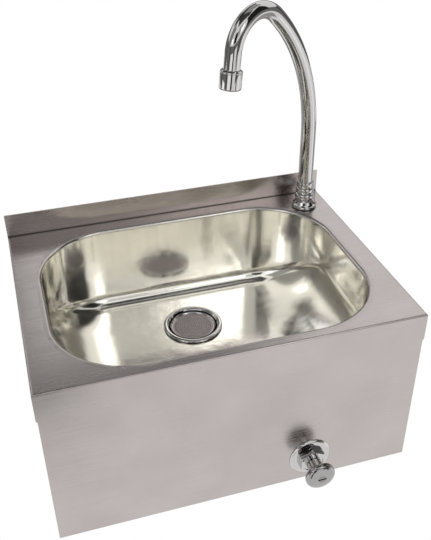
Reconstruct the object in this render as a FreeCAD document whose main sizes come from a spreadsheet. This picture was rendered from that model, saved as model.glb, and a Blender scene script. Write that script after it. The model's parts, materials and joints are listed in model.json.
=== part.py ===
"""Wall-hung stainless steel hand wash basin with a push valve and a swivel spout.

Lengths are in millimetres.  The row frame has x = 0 at mid-width, y = 0 on the wall plane
with the user on the -y side, and z = 0 on top of the deck.
Valve pieces are drawn along their own z axis, which points from the user into the casing.
Tap pieces are drawn along the tap axis, upwards from the deck.
"""
import FreeCAD, Part
import math
import os
import re
import Sketcher
from FreeCAD import Placement, Rotation, Vector

SIZES = [
    ("basin_width", 400, "deck, side to side"),
    ("basin_depth", 290, "deck, wall to front face"),
    ("casing_height", 200, "deck top to the casing's lower edge"),
    ("sheet_gauge", 1.2, "deck and casing sheet"),
    ("upstand_height", 29, "rear upstand above the deck"),
    ("fold_radius", 2, "outside radius of the deck's folds"),
    ("lip_depth", 32, "side lips, down from the deck top"),
    ("lip_reveal", 1.5, "casing side set back from the lip's outside"),
    ("front_return", 12, "side panel flange behind the front"),
    ("rear_return", 24, "side panel flange on the wall"),
    ("panel_gap", 0.3, "side panel below the deck's underside"),
    ("side_hole", 7, "screw holes in the rear returns, diameter"),
    ("side_hole_inset", 13.5, "screw hole from the panel's inside face"),
    ("side_hole_rise", 28, "screw holes above the casing's lower edge"),
    ("side_strip", 25, "deck beside the bowl opening"),
    ("rear_strip", 18, "deck between the wall and the bowl opening"),
    ("front_strip", 10, "deck in front of the bowl opening"),
    ("rim_corner", 88, "plan radius of the bowl opening"),
    ("rim_roll", 4, "rolled edge of the bowl"),
    ("rim_land", 3, "flat rim outside the rolled edge"),
    ("bowl_gauge", 1.0, "drawn bowl sheet"),
    ("bowl_depth", 105, "deck top to the bowl floor"),
    ("bowl_draft", 3.5, "wall lean-in from rim to floor"),
    ("floor_inset", 82, "flat floor from the bowl opening's sides"),
    ("sweep_radius", 82, "floor sweeping up to the side walls"),
    ("cove_radius", 16, "cove between floor and walls"),
    ("drain_inset", 84.5, "drain axis from the bowl opening's rear"),
    ("flange_dia", 72, "waste flange"),
    ("flange_rise", 2.5, "waste flange thickness"),
    ("flange_edge", 0.75, "upright edge of the waste flange"),
    ("flange_bevel", 2.5, "waste flange outer bevel"),
    ("flange_fall", 1, "fall of the flange towards the strainer"),
    ("dish_dia", 55, "outside of the flange's dish"),
    ("dish_drop", 5, "dish below the bowl floor"),
    ("strainer_dia", 52, "strainer seat"),
    ("strainer_gauge", 1, "strainer plate"),
    ("strainer_sink", 1.5, "strainer top below the bowl floor"),
    ("strainer_land", 3, "ledge under the strainer"),
    ("strainer_hole", 1.7, "strainer perforations, diameter"),
    ("strainer_pitch", 2.7, "distance between rings of perforations"),
    ("strainer_rings", 8, "rings of perforations"),
    ("drain_clearance", 0.5, "bowl hole round the dish, on radius"),
    ("tail_dia", 47.8, "waste tail thread"),
    ("tail_bore", 43, "waste tail bore"),
    ("tail_drop", 58, "waste tail below the bowl floor"),
    ("tail_free", 40, "tail thread left free for the trap"),
    ("groove_width", 1.5, "undercuts at the ends of the threads"),
    ("groove_depth", 0.8, "undercuts at the ends of the threads"),
    ("seal_top", 1, "seal above the bowl floor"),
    ("seal_top_width", 5, "width of the upper seal"),
    ("seal_low", 3, "seal below the bowl floor"),
    ("slip_washer", 1.5, "slip washer under the lower seal"),
    ("seal_low_dia", 70, "lower seal and slip washer"),
    ("backnut_flats", 60, "waste backnut across flats"),
    ("backnut_height", 10, "waste backnut"),
    ("tap_inset", 31.5, "tap axis from the basin's side"),
    ("tap_back", 36, "tap axis from the wall"),
    ("tap_hole", 22, "deck hole for the tap"),
    ("shank_dia", 20.955, "half-inch parallel pipe thread"),
    ("shank_drop", 45, "tap shank below the deck top"),
    ("tap_flange_dia", 31, "tap flange"),
    ("tap_flange_rise", 2.5, "tap flange thickness"),
    ("tap_gasket", 1, "gasket between tap flange and deck"),
    ("skirt_dia", 29.4, "foot of the tap skirt"),
    ("skirt_waist_dia", 24, "tap skirt at half its height"),
    ("skirt_height", 9, "tap skirt"),
    ("lower_tier_dia", 21.8, "lower tier of the tap body"),
    ("lower_tier", 7.5, "lower tier height"),
    ("middle_tier_dia", 20.8, "middle tier of the tap body"),
    ("middle_tier", 9.5, "middle tier height"),
    ("top_tier_dia", 20.2, "top collar of the tap body"),
    ("top_tier", 4, "top collar height"),
    ("tier_break", 0.3, "broken edges of the tiers"),
    ("tier_groove", 1.2, "grooves between the tiers"),
    ("tier_groove_dia", 19.4, "floor of the grooves between the tiers"),
    ("washer_under", 2, "rubber washer under the deck"),
    ("washer_under_dia", 32, "rubber washer under the deck, diameter"),
    ("locknut_flats", 27, "tap locknut across flats"),
    ("locknut_height", 8, "tap locknut"),
    ("socket_height", 8, "spout socket floor above the deck"),
    ("tube_dia", 18, "spout tube"),
    ("tube_wall", 1, "spout tube wall"),
    ("run_gap", 0.05, "running clearance, on radius"),
    ("bearing_washer", 1, "low-friction washer under the spout"),
    ("ferrule_height", 15, "ferrule below the tube's end"),
    ("ferrule_spigot", 10, "ferrule inside the tube"),
    ("ferrule_bore", 12, "water way through the ferrule"),
    ("o_ring_wire", 1.7, "O-ring section"),
    ("o_ring_groove", 2.2, "width of an O-ring's groove"),
    ("snap_wire", 1.2, "snap ring height"),
    ("snap_reach", 0.8, "snap ring into the socket wall"),
    ("snap_level", 10, "snap ring above the socket floor"),
    ("spout_angle", 210, "heading of the spout at rest, degrees from +x"),
    ("spout_rise", 100, "straight leg's top above the deck"),
    ("arch_radius", 200, "leaning part of the arch"),
    ("arch_angle", 50, "turn of the leaning part, degrees"),
    ("hook_radius", 40, "top of the arch"),
    ("hook_angle", 122, "turn of the top, degrees"),
    ("spout_drop", 36, "straight leg down to the outlet"),
    ("nozzle_dia", 24, "aerator housing"),
    ("nozzle_length", 20, "aerator housing"),
    ("nozzle_overlap", 8, "tube inside the aerator housing"),
    ("nozzle_bevel", 1.5, "aerator housing edges"),
    ("insert_dia", 20.6, "aerator insert"),
    ("insert_inset", 0.8, "insert above the housing's lower rim"),
    ("insert_wall", 1.5, "wall of the aerator insert"),
    ("insert_hole", 2.2, "holes in the aerator insert, diameter"),
    ("insert_pitch", 3.2, "distance between rings of the insert's holes"),
    ("insert_rings", 2, "rings of holes in the insert"),
    ("aerator_washer", 1.5, "washer above the insert"),
    ("valve_inset", 120, "push valve axis from the basin's side"),
    ("valve_rise", 32, "push valve axis above the casing's lower edge"),
    ("neck_dia", 24, "valve neck thread"),
    ("neck_clearance", 0.5, "front hole round the neck, on radius"),
    ("neck_inside", 18, "neck behind the front face"),
    ("rosette_dia", 48, "rosette"),
    ("rosette_rise", 3, "rosette"),
    ("rosette_slope", 4.8, "sloping rim of the rosette"),
    ("rosette_bevel", 1.6, "outer part of the sloping rim"),
    ("rosette_shoulder", 2.1, "height where the outer part begins"),
    ("rosette_edge", 0.75, "upright edge of the rosette"),
    ("front_nut_flats", 27, "nut on the rosette across flats"),
    ("front_nut_height", 7, "nut on the rosette"),
    ("neck_recess", 1, "neck end inside the front nut"),
    ("rear_washer", 2, "washer behind the front"),
    ("rear_washer_dia", 40, "washer behind the front"),
    ("rear_nut_flats", 30, "nut behind the front across flats"),
    ("rear_nut_height", 7, "nut behind the front"),
    ("valve_dia", 34, "valve body"),
    ("valve_length", 60, "valve body behind its neck"),
    ("stem_dia", 17, "push stem"),
    ("stem_out", 27, "push stem in front of the front face"),
    ("stem_in", 13.7, "push stem behind the front face"),
    ("stroke_room", 8.3, "room behind the stem"),
    ("seal_level", 4.5, "stem seal behind the front face"),
    ("spindle_hold", 6, "spindle screwed into the stem"),
    ("guide_length", 6, "spindle guide"),
    ("spindle_dia", 6, "spindle"),
    ("outlet_chamber", 14, "length of the outlet chamber"),
    ("outlet_chamber_dia", 24, "outlet chamber"),
    ("seat_dia", 12, "water way through the seat"),
    ("seat_length", 4, "seat wall"),
    ("inlet_chamber_dia", 26, "inlet chamber"),
    ("seat_seal", 1.5, "rubber on the valve head"),
    ("head_dia", 18, "valve head"),
    ("head_length", 6, "valve head"),
    ("spring_dia", 15, "return spring, mean diameter"),
    ("spring_wire", 1.4, "return spring wire"),
    ("spring_turns", 6, "return spring turns"),
    ("cap_spigot", 4, "end cap inside the valve body"),
    ("cap_flats", 32, "end cap across flats"),
    ("cap_height", 7, "end cap head"),
    ("cap_seal", 1, "seal under the end cap"),
    ("inlet_dia", 20.955, "inlet thread, half-inch parallel"),
    ("inlet_bore", 14, "inlet bore"),
    ("inlet_boss_dia", 26, "boss round the inlet"),
    ("inlet_boss", 16.5, "end of the inlet boss from the valve axis"),
    ("inlet_reach", 30, "inlet end from the valve axis"),
    ("inlet_level", 62, "inlet axis behind the front face"),
    ("outlet_dia", 16.662, "outlet thread, three-eighths parallel"),
    ("outlet_reach", 31, "outlet end from the valve axis"),
    ("outlet_level", 35, "outlet axis behind the front face"),
    ("push_dia", 33.5, "push cap"),
    ("push_height", 8, "push cap"),
    ("push_crown", 5.5, "crowned part of the push cap, front to back"),
    ("push_round", 4, "round edge between the cap's wall and its crown"),
    ("shoulder_dia", 24, "shoulder of the push cap's crown"),
    ("shoulder_fall", 1.4, "shoulder behind the cap's front"),
    ("shoulder_round", 14, "rounding of the shoulder"),
    ("screw_head", 9.6, "cap screw head"),
    ("screw_sink", 2.4, "cap screw head height"),
    ("screw_dia", 5, "cap screw"),
    ("screw_length", 20, "cap screw under its head"),
    ("slot_width", 1.8, "cap screw slot"),
    ("slot_depth", 1.2, "cap screw slot"),
    ("pipe_dia", 10, "supply pipe"),
    ("pipe_wall", 1, "supply pipe wall"),
    ("pipe_bend", 30, "supply pipe bends, on the centre line"),
    ("pipe_insert", 8, "socket for the pipe's end"),
    ("port_bore", 8, "water way beyond the pipe socket"),
    ("olive_length", 4, "compression ring"),
    ("olive_dia", 15, "compression ring"),
    ("union_grip", 9, "union nut over the thread"),
    ("union_wall", 3, "union nut end wall"),
    ("union_flats_tap", 27, "union nut at the tap across flats"),
    ("union_flats_valve", 22, "union nut at the valve across flats"),
    ("rail_gauge", 1.5, "hanging rail sheet"),
    ("rail_inset", 40, "end of the hanging rail from the basin's side"),
    ("rail_shelf", 11, "rail shelf under the deck"),
    ("rail_leg", 20, "rail leg below the shelf's top"),
    ("rail_offset", 3, "rail leg from the wall"),
    ("bracket_gauge", 2, "wall bracket sheet"),
    ("bracket_play", 10, "rail beyond each end of the wall bracket"),
    ("bracket_drop", 68, "wall bracket plate below its hook"),
    ("bracket_lip", 12, "wall bracket hook height"),
    ("bracket_throat", 4, "room for the rail in the hook"),
    ("bracket_hole", 7, "wall bracket screw holes, diameter"),
    ("bracket_hole_inset", 40, "wall bracket holes from its ends"),
    ("bracket_hole_drop", 36, "wall bracket holes below its hook"),
    ("edge_break", 0.8, "small bevels on nuts"),
    ("small_gap", 0.3, "assembly gap"),
]

WORKED_OUT = [
    ("rim_width", "basin_width - 2 * side_strip", "bowl opening, side to side"),
    ("rim_length", "basin_depth - rear_strip - front_strip", "bowl opening, front to back"),
    ("rim_back", "rear_strip + rim_length / 2", "bowl centre from the wall"),
    ("floor_half", "rim_width / 2 - floor_inset", "half of the flat floor's width"),
    ("drain_back", "rear_strip + drain_inset", "drain axis from the wall"),
    ("tap_side", "basin_width / 2 - tap_inset", "tap axis from mid-width"),
    ("valve_side", "basin_width / 2 - valve_inset", "push valve axis from mid-width"),
    ("valve_drop", "casing_height - valve_rise", "push valve axis below the deck top"),
    ("side_hole_drop", "casing_height - side_hole_rise", "side screw holes below the deck top"),
    ("rail_width", "basin_width - 2 * rail_inset", "hanging rail"),
    ("bracket_width", "rail_width - 2 * bracket_play", "wall bracket"),
    ("bracket_hole_side", "bracket_width / 2 - bracket_hole_inset", "bracket holes from mid-width"),
]

doc = FreeCAD.newDocument("HandWashBasin")
sheet = doc.addObject("Spreadsheet::Sheet", "Sizes")
worked_out = [(alias, "=" + text, remark) for alias, text, remark in WORKED_OUT]
for row, (alias, entry, remark) in enumerate(SIZES + worked_out, start=1):
    sheet.set("A%d" % row, alias)
    sheet.set("B%d" % row, str(entry))
    sheet.set("C%d" % row, remark)
    sheet.setAlias("B%d" % row, alias)
doc.recompute()

ALIASES = set(entry[0] for entry in SIZES + WORKED_OUT)
TOLERANCE = 0.02
UP = Rotation()
INWARD = Rotation(Vector(1, 0, 0), -90)
DOWN = Rotation(Vector(1, 0, 0), 180)
RIGHT = Rotation(Vector(0, 1, 0), 90)
parts = []


# ---------------------------------------------------------------- formulas and placing

def formula(text):
    """The text with every size name pointed at its cell of the sheet."""
    def pointed(found):
        word = found.group()
        return "Sizes." + word if word in ALIASES else word
    return re.sub(r"[a-z_]+", pointed, text)


def size(text):
    """Present value of a formula, in millimetres or degrees."""
    found = sheet.evalExpression(formula(text))
    return float(getattr(found, "Value", found))


def bind(thing, prop, text):
    thing.setExpression(prop, formula(text))


def place(thing, at=("0", "0", "0"), turn=UP):
    """Turn a sub-part and tie its position to the sheet."""
    thing.Placement = Placement(Vector(), turn)
    for axis, text in zip("xyz", at):
        bind(thing, "Placement.Base." + axis, text)


def keep(thing, label):
    """Register an object as one finished sub-part."""
    thing.Label = label
    parts.append(thing)
    return thing


def spot(thing, at):
    """Pin a datum or sketch offset along its own normal to the sheet."""
    bind(thing, "AttachmentOffset.Base.z", at)


# ---------------------------------------------------------------- sketch helpers

def new_body(label, at=("0", "0", "0"), turn=UP):
    body = doc.addObject("PartDesign::Body", label)
    place(body, at, turn)
    return keep(body, label)


def new_sketch(body, plane, offset=None):
    """Empty sketch on one of the body's own origin planes, optionally shifted along its normal."""
    sketch = body.newObject("Sketcher::SketchObject", body.Name + "_sketch")
    origin = [f for f in body.Origin.OriginFeatures if f.Role == plane][0]
    sketch.AttachmentSupport = [(origin, "")]
    sketch.MapMode = "FlatFace"
    if offset:
        spot(sketch, offset)
    return sketch


def pin(sketch, geo, end, x, y):
    """Dimension one point of a sketch from the sketch's origin."""
    for kind, text, axis in (("DistanceX", x, -2), ("DistanceY", y, -1)):
        if text == "0":
            sketch.addConstraint(Sketcher.Constraint("PointOnObject", geo, end, axis))
            continue
        index = sketch.addConstraint(Sketcher.Constraint(kind, -1, 1, geo, end, size(text)))
        bind(sketch, "Constraints[%d]" % index, text)


def outline(sketch, points):
    """Closed outline of straight edges, each corner dimensioned by two formulas."""
    spots = [Vector(size(x), size(y), 0) for x, y in points]
    first = sketch.GeometryCount
    for i, start in enumerate(spots):
        sketch.addGeometry(Part.LineSegment(start, spots[(i + 1) % len(spots)]), False)
    for i, (x, y) in enumerate(points):
        ahead = first + (i + 1) % len(points)
        sketch.addConstraint(Sketcher.Constraint("Coincident", first + i, 2, ahead, 1))
        pin(sketch, first + i, 1, x, y)
    return sketch


def circle(sketch, radius, x="0", y="0"):
    geo = sketch.addGeometry(Part.Circle(Vector(size(x), size(y), 0), Vector(0, 0, 1), size(radius)), False)
    if (x, y) == ("0", "0"):
        sketch.addConstraint(Sketcher.Constraint("Coincident", geo, 3, -1, 1))
    else:
        pin(sketch, geo, 3, x, y)
    index = sketch.addConstraint(Sketcher.Constraint("Radius", geo, size(radius)))
    bind(sketch, "Constraints[%d]" % index, radius)
    return sketch


def rectangle(x_low, y_low, x_high, y_high):
    return [(x_low, y_low), (x_high, y_low), (x_high, y_high), (x_low, y_high)]


def hexagon(flats):
    """Corners of a hexagon from its size across flats."""
    half, low, tip = flats + " / 2", flats + " / sqrt(12)", flats + " / sqrt(3)"
    minus = "-1 * "
    return [(half, low), ("0", tip), (minus + half, low),
            (minus + half, minus + low), ("0", minus + tip), (half, minus + low)]


# ---------------------------------------------------------------- feature helpers

def feature(body, kind, sketch, **settings):
    made = body.newObject("PartDesign::" + kind, body.Name + "_" + kind.lower())
    made.Profile = sketch
    for name, setting in settings.items():
        if isinstance(setting, str) and name in ("Length", "Length2"):
            bind(made, name, setting)
        else:
            setattr(made, name, setting)
    sketch.Visibility = False
    return made


def revolve(body, points, kind="Revolution"):
    """Turn a profile of (radius, height) formulas round the body's z axis."""
    sketch = outline(new_sketch(body, "XZ_Plane"), points)
    return feature(body, kind, sketch, ReferenceAxis=(sketch, ["V_Axis"]), Angle=360)


def turned(label, points, at=("0", "0", "0"), turn=UP):
    body = new_body(label, at, turn)
    revolve(body, points)
    return body


def ring(label, outer, inner, low, high, at=("0", "0", "0"), turn=UP):
    """Plain ring between two diameters and two heights."""
    return turned(label, rectangle(inner + " / 2", low, outer + " / 2", high), at, turn)


def mill_flats(body, flats, low, high):
    """Cut six flats between two heights of a turned piece."""
    sketch = new_sketch(body, "XY_Plane", high)
    outline(sketch, hexagon(flats))
    circle(sketch, flats)
    return feature(body, "Pocket", sketch, Length="(%s) - (%s)" % (high, low))


def bevelled(bore, corner, low, high):
    """Profile of a nut blank: bore and outside radius, with both outer corners bevelled."""
    return [(bore, low), (corner + " - edge_break", low), (corner, low + " + edge_break"),
            (corner, high + " - edge_break"), (corner + " - edge_break", high), (bore, high)]


def hex_nut(label, flats, bore, low, high, at=("0", "0", "0"), turn=UP):
    body = turned(label, bevelled(bore + " / 2", flats + " / sqrt(3)", low, high), at, turn)
    mill_flats(body, flats, low, high)
    return body


def edges_of(body, test):
    """Names of the tip's edges whose middle point and bounding box pass a test."""
    doc.recompute()
    names = []
    for index, edge in enumerate(body.Tip.Shape.Edges, start=1):
        middle = edge.valueAt((edge.FirstParameter + edge.LastParameter) / 2)
        if test(middle, edge.BoundBox):
            names.append("Edge%d" % index)
    return names


def dress(body, kind, size_text, test):
    """Fillet or Chamfer on the edges that pass a test."""
    names = edges_of(body, test)
    before = body.Tip
    made = body.newObject("PartDesign::" + kind, body.Name + "_" + kind.lower())
    made.Base = (before, names)
    bind(made, "Radius" if kind == "Fillet" else "Size", size_text)
    return made


def near(a, b):
    return abs(a - b) < TOLERANCE


# ---------------------------------------------------------------- sheet metal

RIM_EDGE_X = "rim_width / 2 + rim_land"
RIM_EDGE_Y = "rim_length / 2 + rim_land"


def make_deck():
    """Deck, upstand, side lips and front, folded from one sheet."""
    body = new_body("deck_and_front")
    front, gauge = "-1 * basin_depth", "sheet_gauge"
    low = "-1 * casing_height"
    profile = outline(new_sketch(body, "YZ_Plane"), [
        (front, low), (front, "0"), ("-1 * " + gauge, "0"), ("-1 * " + gauge, "upstand_height"),
        ("0", "upstand_height"), ("0", "-1 * " + gauge), (front + " + " + gauge, "-1 * " + gauge),
        (front + " + " + gauge, low)])
    feature(body, "Pad", profile, Length="basin_width", Midplane=True)

    lips = new_sketch(body, "XZ_Plane")
    for side in ("", "-1 * "):
        outline(lips, rectangle(side + "(basin_width / 2 - sheet_gauge)", "-1 * lip_depth",
                                side + "basin_width / 2", "-1 * sheet_gauge / 2"))
    feature(body, "Pad", lips, Length="basin_depth")

    notches = new_sketch(body, "XZ_Plane")
    for side in ("", "-1 * "):
        edge, inner = side + "basin_width / 2", side + "(basin_width / 2 - lip_reveal)"
        outline(notches, [(edge, "-1 * lip_depth"), (inner, "-1 * (lip_depth + lip_reveal)"), (inner, low),
                          (edge, low)])
    feature(body, "Pocket", notches, Type="ThroughAll", Midplane=True)

    rear = "-1 * (rim_back - rim_length / 2 - rim_land)"
    fore = "-1 * (rim_back + rim_length / 2 + rim_land)"
    opening = outline(new_sketch(body, "XY_Plane"),
                      rectangle("-1 * (%s)" % RIM_EDGE_X, fore, RIM_EDGE_X, rear))
    feature(body, "Pocket", opening, Length="sheet_gauge")
    half = size(RIM_EDGE_X)
    dress(body, "Fillet", "rim_corner + rim_land",
          lambda at, box: near(abs(at.x), half) and near(box.ZLength, size("sheet_gauge")))

    tap = circle(new_sketch(body, "XY_Plane"), "tap_hole / 2", "tap_side", "-1 * tap_back")
    feature(body, "Pocket", tap, Length="sheet_gauge")
    valve = circle(new_sketch(body, "XZ_Plane"), "neck_dia / 2 + neck_clearance",
                   "valve_side", "-1 * valve_drop")
    feature(body, "Pocket", valve, Type="ThroughAll", Midplane=True)

    side, depth, rear = size("basin_width / 2"), size("basin_depth"), size("rear_strip")
    dress(body, "Fillet", "fold_radius",
          lambda at, box: near(at.z, 0) and (near(at.y, -depth) or near(abs(at.x), side)) and at.y < -rear)
    return body


def make_side_panel():
    """Right side of the casing, flanged behind the front and along the wall."""
    body = new_body("side_panel_right", ("0", "0", "-1 * casing_height"))
    outer = "basin_width / 2 - lip_reveal"
    inner = outer + " - sheet_gauge"
    fore = "-1 * (basin_depth - sheet_gauge)"
    plan = outline(new_sketch(body, "XY_Plane"), [
        (outer, fore), (outer, "0"), (inner + " - rear_return", "0"),
        (inner + " - rear_return", "-1 * sheet_gauge"), (inner, "-1 * sheet_gauge"),
        (inner, fore + " + sheet_gauge"), (inner + " - front_return", fore + " + sheet_gauge"),
        (inner + " - front_return", fore)])
    feature(body, "Pad", plan, Length="casing_height - sheet_gauge - panel_gap")
    hole = circle(new_sketch(body, "XZ_Plane"), "side_hole / 2", inner + " - side_hole_inset",
                  "casing_height - side_hole_drop")
    feature(body, "Pocket", hole, Length="sheet_gauge * 2", Midplane=True)
    return body


def make_left_panel(right):
    """Mirror image of the right side panel."""
    mirrored = doc.addObject("Part::Mirroring", "side_panel_left")
    mirrored.Source = right
    mirrored.Normal = Vector(1, 0, 0)
    return keep(mirrored, "side_panel_left")


def make_rail():
    """Folded rail welded under the deck's rear strip; its leg drops into the bracket's hook."""
    body = new_body("rear_rail", ("0", "0", "-1 * sheet_gauge"))
    back = "-1 * rail_offset"
    leg = back + " - rail_gauge"
    tip = back + " - rail_shelf"
    profile = outline(new_sketch(body, "YZ_Plane"), [
        (tip, "-1 * rail_gauge"), (leg, "-1 * rail_gauge"), (leg, "-1 * rail_leg"),
        (back, "-1 * rail_leg"), (back, "0"), (tip, "0")])
    feature(body, "Pad", profile, Length="rail_width", Midplane=True)
    return body


def make_bracket():
    """Hook plate screwed to the wall; the rail's leg stands in its hook."""
    body = new_body("wall_bracket", ("0", "0", "-1 * (sheet_gauge + rail_leg)"))
    lip_back = "-1 * (bracket_gauge + bracket_throat)"
    lip_front = lip_back + " - bracket_gauge"
    profile = outline(new_sketch(body, "YZ_Plane"), [
        (lip_front, "-1 * bracket_gauge"), (lip_front, "bracket_lip"), (lip_back, "bracket_lip"),
        (lip_back, "0"), ("0", "0"), ("0", "-1 * bracket_drop"),
        ("-1 * bracket_gauge", "-1 * bracket_drop"), ("-1 * bracket_gauge", "-1 * bracket_gauge")])
    feature(body, "Pad", profile, Length="bracket_width", Midplane=True)
    holes = new_sketch(body, "XZ_Plane")
    for side in ("", "-1 * "):
        circle(holes, "bracket_hole / 2", side + "bracket_hole_side", "-1 * bracket_hole_drop")
    feature(body, "Pocket", holes, Type="ThroughAll", Midplane=True)
    return body


# ---------------------------------------------------------------- bowl

def round_rectangle(half_x, half_y, radius, level):
    """Closed wire of a rectangle with round corners, centred on the z axis."""
    flat_x, flat_y = half_x - radius, half_y - radius
    arcs = []
    for quarter, (sign_x, sign_y) in enumerate(((1, 1), (-1, 1), (-1, -1), (1, -1))):
        centre = Vector(sign_x * flat_x, sign_y * flat_y, level)
        turns = [(quarter + step / 2) * math.pi / 2 for step in range(3)]
        arcs.append([centre + radius * Vector(math.cos(turn), math.sin(turn), 0) for turn in turns])
    edges = []
    for arc, following in zip(arcs, arcs[1:] + arcs[:1]):
        edges.append(Part.Arc(*arc).toShape())
        edges.append(Part.LineSegment(arc[2], following[0]).toShape())
    return Part.Wire(edges)


def swept_floor(depth, flat, sweep, reach, length):
    """Long block whose underside is flat in the middle and sweeps up at both sides."""
    side = flat + sweep
    spring = sweep - depth
    diagonal = sweep * math.sqrt(0.5)

    def point(x, z):
        return Vector(x, -length / 2, z)

    def line(start, end):
        return Part.LineSegment(start, end).toShape()

    right = Part.Arc(point(flat, -depth), point(flat + diagonal, spring - diagonal), point(side, spring))
    left = Part.Arc(point(-side, spring), point(-flat - diagonal, spring - diagonal), point(-flat, -depth))
    section = Part.Wire([
        line(point(-flat, -depth), point(flat, -depth)), right.toShape(),
        line(point(side, spring), point(side, reach)), line(point(side, reach), point(-side, reach)),
        line(point(-side, reach), point(-side, spring)), left.toShape()])
    return Part.Face(section).extrude(Vector(0, length, 0))


def bowl_form(grow):
    """Solid form of the bowl's inside, grown outwards by a thickness."""
    half_x = size("rim_width / 2 - rim_roll") + grow
    half_y = size("rim_length / 2 - rim_roll") + grow
    corner = size("rim_corner - rim_roll") + grow
    draft, depth = size("bowl_draft"), size("bowl_depth") + grow
    top = round_rectangle(half_x, half_y, corner, 0)
    foot = round_rectangle(half_x - draft, half_y - draft, corner - draft, -depth)
    walls = Part.makeLoft([top, foot], True, True)
    floor = swept_floor(depth, size("floor_half"), size("sweep_radius") + grow, 1, 3 * half_y)
    form = walls.common(floor).Solids[0]
    sharp = [edge for edge in form.Edges if is_floor_edge(edge)]
    return form.makeFillet(size("cove_radius") + grow, sharp)


def is_floor_edge(edge):
    """True for the edges where the floor meets the walls, not for the walls' own upright edges."""
    box = edge.BoundBox
    lean = size("bowl_draft + small_gap")
    upright = box.ZLength > size("cove_radius / 2") and box.XLength < lean and box.YLength < lean
    across_floor = near(box.XLength, 0) and near(abs(box.XMin), size("floor_half"))
    at_rim = box.ZMax > -TOLERANCE
    return not upright and not across_floor and not at_rim


def rim_edges(shape, half_x, level):
    """Edges of a closed rounded loop at one level that reaches half_x to the sides."""
    found = []
    for edge in shape.Edges:
        box = edge.BoundBox
        flat = near(box.ZMin, level) and near(box.ZMax, level)
        middle = edge.valueAt((edge.FirstParameter + edge.LastParameter) / 2)
        if flat and near(loop_distance(middle, half_x), 0):
            found.append(edge)
    return found


def loop_distance(at, half_x):
    """Distance of a point from the rounded loop whose half width is half_x."""
    inset = size("rim_width / 2") - half_x
    half_y = size("rim_length / 2") - inset
    corner = size("rim_corner") - inset
    over_x = abs(at.x) - (half_x - corner)
    over_y = abs(at.y) - (half_y - corner)
    if over_x > 0 and over_y > 0:
        return math.hypot(over_x, over_y) - corner
    return max(over_x, over_y) - corner


def make_bowl():
    """Drawn bowl with a rolled edge and a flat rim let into the deck."""
    gauge, sheet = size("bowl_gauge"), size("sheet_gauge")
    roll, land = size("rim_roll"), size("rim_land")
    half_x, half_y = size("rim_width / 2"), size("rim_length / 2")
    rim = Part.Face(round_rectangle(half_x + land, half_y + land, size("rim_corner") + land, -sheet))
    blank = rim.extrude(Vector(0, 0, sheet)).fuse(bowl_form(gauge)).removeSplitter()
    under = rim_edges(blank, half_x - roll + gauge - draft_at(sheet), -sheet)
    blank = blank.makeFillet(roll - gauge, under)
    shell = blank.cut(bowl_form(0))
    shell = shell.makeFillet(roll, rim_edges(shell, half_x - roll, 0))
    foot = Vector(0, size("rim_back - drain_back"), -size("bowl_depth + bowl_gauge * 2"))
    hole = Part.makeCylinder(size("dish_dia / 2 + drain_clearance"), size("bowl_depth"), foot)
    shell = shell.cut(hole)
    bowl = doc.addObject("Part::Feature", "bowl")
    bowl.Shape = shell
    place(bowl, ("0", "-1 * rim_back", "0"))
    return keep(bowl, "bowl")


def draft_at(level):
    """Lean-in of the bowl's outside wall at a depth below the deck top."""
    return size("bowl_draft") * level / (size("bowl_depth") + size("bowl_gauge"))


# ---------------------------------------------------------------- waste

def make_waste():
    """Flanged strainer waste, clamped through the bowl floor."""
    at = ("0", "-1 * drain_back", "-1 * bowl_depth")
    dish, seat, tail, bore = "dish_dia / 2", "strainer_dia / 2", "tail_dia / 2", "tail_bore / 2"
    top, edge = "seal_top + flange_rise", "flange_dia / 2"
    ledge = "-1 * (strainer_sink + strainer_gauge)"
    under, foot = "-1 * dish_drop", "-1 * tail_drop"
    free = foot + " + tail_free"
    turned("waste_flange", [
        (dish, "seal_top"), (edge, "seal_top"), (edge, "seal_top + flange_edge"),
        (edge + " - flange_bevel", top), (dish, top), (seat, top + " - flange_fall"), (seat, ledge),
        (seat + " - strainer_land", ledge), (seat + " - strainer_land", under + " + bowl_gauge"),
        (bore, under), (bore, foot), (tail, foot), (tail, free), (tail + " - groove_depth", free),
        (tail + " - groove_depth", free + " + groove_width"), (tail, free + " + groove_width"),
        (tail, under), (dish, under)], at)
    make_strainer(at)
    ring("waste_upper_seal", "(dish_dia + seal_top_width * 2)", "dish_dia", "0", "seal_top", at)
    low = "-1 * (bowl_gauge + seal_low)"
    ring("waste_lower_seal", "seal_low_dia", "dish_dia", low, "-1 * bowl_gauge", at)
    washer = low + " - slip_washer"
    ring("waste_slip_washer", "seal_low_dia", "dish_dia", washer, low, at)
    hex_nut("waste_backnut", "backnut_flats", "tail_dia", washer + " - backnut_height", washer, at)


def make_strainer(at):
    """Perforated plate: one middle hole and rings of holes round it."""
    body = new_body("strainer_plate", (at[0], at[1], at[2] + " - (strainer_sink + strainer_gauge)"))
    disc = circle(new_sketch(body, "XY_Plane"), "strainer_dia / 2")
    feature(body, "Pad", disc, Length="strainer_gauge")
    middle = circle(new_sketch(body, "XY_Plane"), "strainer_hole / 2")
    feature(body, "Pocket", middle, Type="ThroughAll", Midplane=True)
    perforate(body, "strainer_hole / 2", "strainer_pitch", "strainer_rings")


def perforate(body, radius, pitch, rings):
    """Rings of round holes, six more in each ring than in the one inside it."""
    for number in range(1, int(size(rings)) + 1):
        hole = circle(new_sketch(body, "XY_Plane"), radius, "%s * %d" % (pitch, number), "0")
        pocket = feature(body, "Pocket", hole, Type="ThroughAll", Midplane=True)
        pattern = body.newObject("PartDesign::PolarPattern", body.Name + "_ring%d" % number)
        pattern.Originals = [pocket]
        pattern.Axis = (hole, ["N_Axis"])
        pattern.Angle = 360
        pattern.Occurrences = 6 * number
        body.Tip = pattern
        doc.recompute()


# ---------------------------------------------------------------- tap

TAP = ("tap_side", "-1 * tap_back", "0")


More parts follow.
